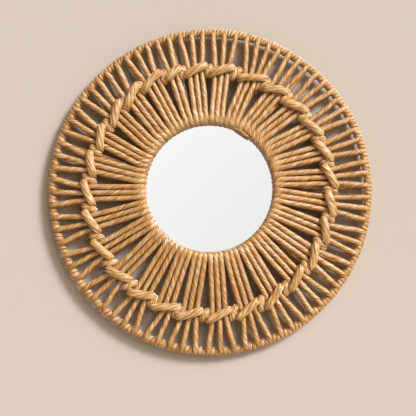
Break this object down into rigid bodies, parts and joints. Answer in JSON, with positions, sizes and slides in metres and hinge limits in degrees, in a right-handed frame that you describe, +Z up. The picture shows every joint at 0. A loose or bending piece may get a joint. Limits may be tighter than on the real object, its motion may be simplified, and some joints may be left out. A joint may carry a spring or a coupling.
{
  "type": "wall mirror",
  "caption": "Round wall mirror in an open frame of natural cord, wound like spokes between two hoops and held by a ring of twined stitches.",
  "frame": {"origin": "bottom of the middle notch of the sawtooth hanger, where a nail carries the mirror", "axes": "+Z up, -Y out of the mirror's face, +Y into the wall, +X to the right as seen from the front"},
  "size_m": [0.5, 0.0358, 0.508],
  "materials": {
    "cord": "twisted natural cord, pale straw with warm brown between the turns, slightly waxy",
    "weaver_cord": "loosely twisted natural cord, a little lighter and thicker than the spokes",
    "mirror": "clear silvered glass",
    "hardboard": "plain dark hardboard",
    "zinc": "zinc-plated, dull"
  },
  "bodies": {
    "root": {"outer_rim": "cord", "spoke_group_01": "cord", "spoke_group_02": "cord", "spoke_group_03": "cord", "spoke_group_04": "cord", "spoke_group_05": "cord", "spoke_group_06": "cord", "spoke_group_07": "cord", "spoke_group_08": "cord", "spoke_group_09": "cord", "spoke_group_10": "cord", "spoke_group_11": "cord", "spoke_group_12": "cord", "spoke_group_13": "cord", "spoke_group_14": "cord", "spoke_group_15": "cord", "spoke_group_16": "cord", "spoke_group_17": "cord", "spoke_group_18": "cord", "spoke_group_19": "cord", "spoke_group_20": "cord", "spoke_group_21": "cord", "spoke_group_22": "cord", "spoke_group_23": "cord", "spoke_group_24": "cord", "spoke_group_25": "cord", "spoke_group_26": "cord", "spoke_group_27": "cord", "spoke_group_28": "cord", "weaver_front": "weaver_cord", "weaver_back": "weaver_cord", "mirror_glass": "mirror", "back_panel": "hardboard", "sawtooth_hanger": "zinc", "hanger_pin_left": "zinc", "hanger_pin_right": "zinc"}
  },
  "joints": []
}
